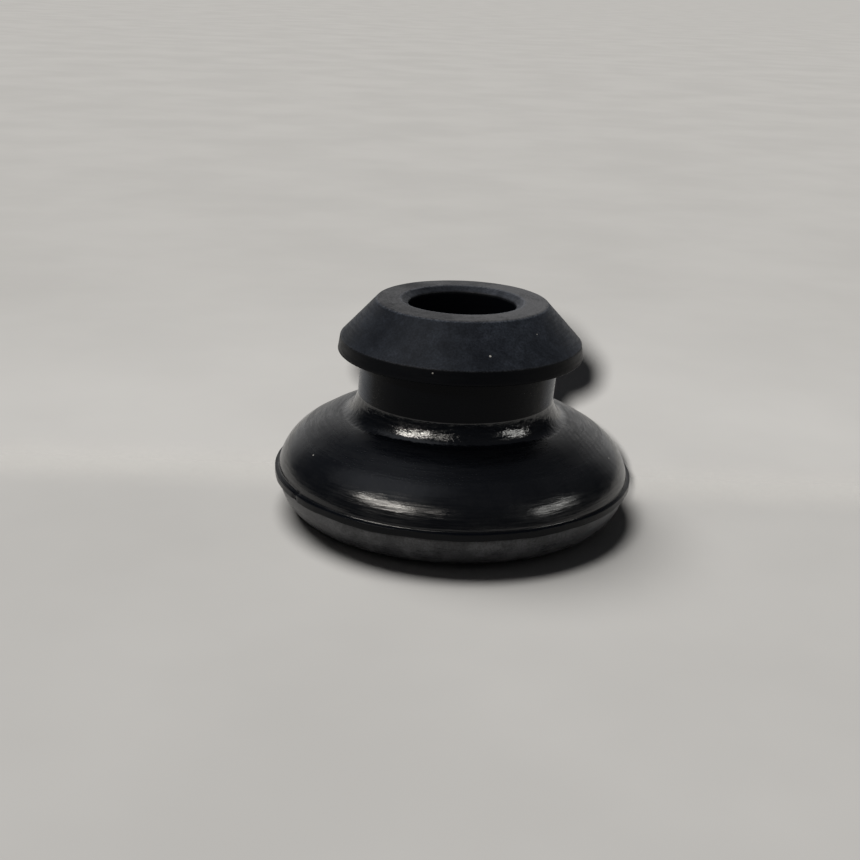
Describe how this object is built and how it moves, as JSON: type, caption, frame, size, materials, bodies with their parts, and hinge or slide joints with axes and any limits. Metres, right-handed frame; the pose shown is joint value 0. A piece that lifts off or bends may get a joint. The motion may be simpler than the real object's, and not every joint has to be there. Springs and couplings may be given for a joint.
{
  "type": "air filter housing grommet",
  "caption": "Round rubber mounting grommet with a domed flange, a ring groove for a bracket, a conical head and a through bore for a peg.",
  "frame": {"origin": "centre of the flat foot, on the surface that the grommet stands on", "axes": "+Z along the bore axis, from the foot to the head; the part is round about Z"},
  "size_m": [0.035, 0.035, 0.0209],
  "materials": {
    "rubber": "moulded black rubber, matte on the head and neck, satin to glossy on the flare and dome"
  },
  "bodies": {
    "root": {"grommet": "rubber"}
  },
  "joints": []
}
